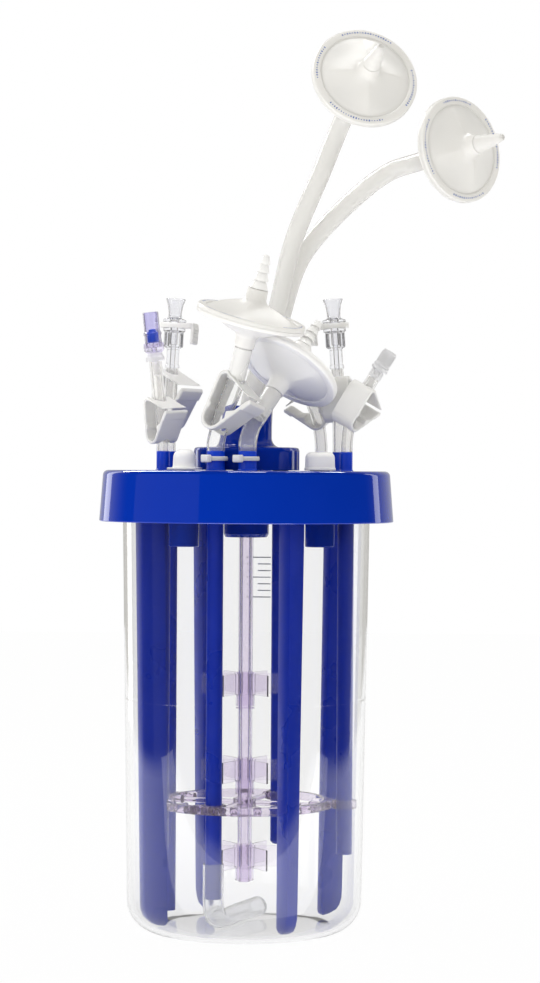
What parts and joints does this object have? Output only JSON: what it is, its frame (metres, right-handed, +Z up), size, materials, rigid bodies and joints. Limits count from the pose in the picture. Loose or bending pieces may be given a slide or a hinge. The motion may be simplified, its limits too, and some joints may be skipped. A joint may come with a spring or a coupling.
{
  "type": "bench bioreactor",
  "caption": "Stirred clear bench bioreactor: baffled vessel with a moulded head plate, impeller shaft, dip tubes, pinch clamped lines and disc vent filters.",
  "frame": {"origin": "centre of the vessel's flat base, on the stirrer axis", "axes": "+Z up along the stirrer axis, -Y towards the front, +X to the right"},
  "size_m": [0.2336, 0.1704, 0.5233],
  "materials": {
    "clear_plastic": "clear, polished",
    "blue_plastic": "glossy moulded royal blue",
    "violet_plastic": "clear, faint violet tint",
    "valve_blue": "glossy blue",
    "frosted_plastic": "natural translucent",
    "white_plastic": "satin moulded white",
    "filter_membrane": "matt white",
    "soft_tubing": "translucent, satin",
    "bearing_plastic": "satin natural"
  },
  "bodies": {
    "vessel_assembly": {"vessel": "clear_plastic", "coupling_1_body": "clear_plastic", "coupling_2_body": "clear_plastic", "head_plate": "blue_plastic", "drive_housing": "blue_plastic", "baffle_1": "blue_plastic", "baffle_2": "blue_plastic", "baffle_3": "blue_plastic", "baffle_4": "blue_plastic", "sparge_riser": "blue_plastic", "harvest_tube": "blue_plastic", "sample_tube": "blue_plastic", "drain_tube": "blue_plastic", "thermowell": "blue_plastic", "shaft_bearing": "bearing_plastic", "tie_ring": "violet_plastic", "valve_body": "violet_plastic", "sparge_hose": "frosted_plastic", "luer_body": "frosted_plastic", "zip_tie_1": "white_plastic", "zip_tie_2": "white_plastic", "line_plug": "white_plastic", "pinch_clamp_1": "white_plastic", "pinch_clamp_2": "white_plastic", "pinch_clamp_3": "white_plastic", "pinch_clamp_4": "white_plastic", "pinch_clamp_5": "white_plastic", "pinch_clamp_6": "white_plastic", "filter_1_front_shell": "white_plastic", "filter_1_rear_shell": "white_plastic", "filter_2_front_shell": "white_plastic", "filter_2_rear_shell": "white_plastic", "filter_3_front_shell": "white_plastic", "filter_3_rear_shell": "white_plastic", "filter_4_front_shell": "white_plastic", "filter_4_rear_shell": "white_plastic", "filter_1_membrane": "filter_membrane", "filter_2_membrane": "filter_membrane", "filter_3_membrane": "filter_membrane", "filter_4_membrane": "filter_membrane", "vent_line_1": "soft_tubing", "vent_line_2": "soft_tubing", "line_1": "soft_tubing", "line_2": "soft_tubing", "line_3": "soft_tubing", "line_4": "soft_tubing", "line_5": "soft_tubing", "line_6": "soft_tubing", "line_7": "soft_tubing"},
    "stirrer": {"stirrer_shaft": "violet_plastic", "drive_hub": "bearing_plastic", "impeller_upper": "violet_plastic", "impeller_middle": "violet_plastic", "impeller_lower": "violet_plastic"},
    "left_sensor_plug": {"sensor_plug_left": "white_plastic"},
    "right_sensor_plug": {"sensor_plug_right": "white_plastic"},
    "latch_1": {"coupling_1_latch": "white_plastic"},
    "latch_2": {"coupling_2_latch": "white_plastic"},
    "piston": {"valve_piston": "valve_blue"},
    "cap": {"luer_cap": "frosted_plastic"}
  },
  "joints": [
    {"name": "stirrer_spin", "type": "hinge", "parent": "vessel_assembly", "child": "stirrer", "pos_m": [0, 0, 0.15], "axis": [0, 0, 1], "continuous": true},
    {"name": "left_plug_pull", "type": "slide", "parent": "vessel_assembly", "child": "left_sensor_plug", "axis": [0, 0, 1], "range_m": [0, 0.025]},
    {"name": "right_plug_pull", "type": "slide", "parent": "vessel_assembly", "child": "right_sensor_plug", "axis": [0, 0, 1], "range_m": [0, 0.025]},
    {"name": "latch_1_press", "type": "slide", "parent": "vessel_assembly", "child": "latch_1", "axis": [-0.9387, 0.342, 0.0433], "range_m": [0, 0.002], "stiffness_N_per_m": 400, "springref_m": -0.002},
    {"name": "latch_2_press", "type": "slide", "parent": "vessel_assembly", "child": "latch_2", "axis": [0.9489, -0.309, 0.0633], "range_m": [0, 0.002], "stiffness_N_per_m": 400, "springref_m": -0.002},
    {"name": "piston_press", "type": "slide", "parent": "vessel_assembly", "child": "piston", "axis": [0.1095, 0.0391, -0.9932], "range_m": [0, 0.003], "stiffness_N_per_m": 300, "springref_m": -0.002},
    {"name": "cap_turn", "type": "hinge", "parent": "vessel_assembly", "child": "cap", "pos_m": [0.07296, -0.00604, 0.32], "axis": [0.5369, 0, 0.8437], "range_deg": [0, 270]}
  ]
}
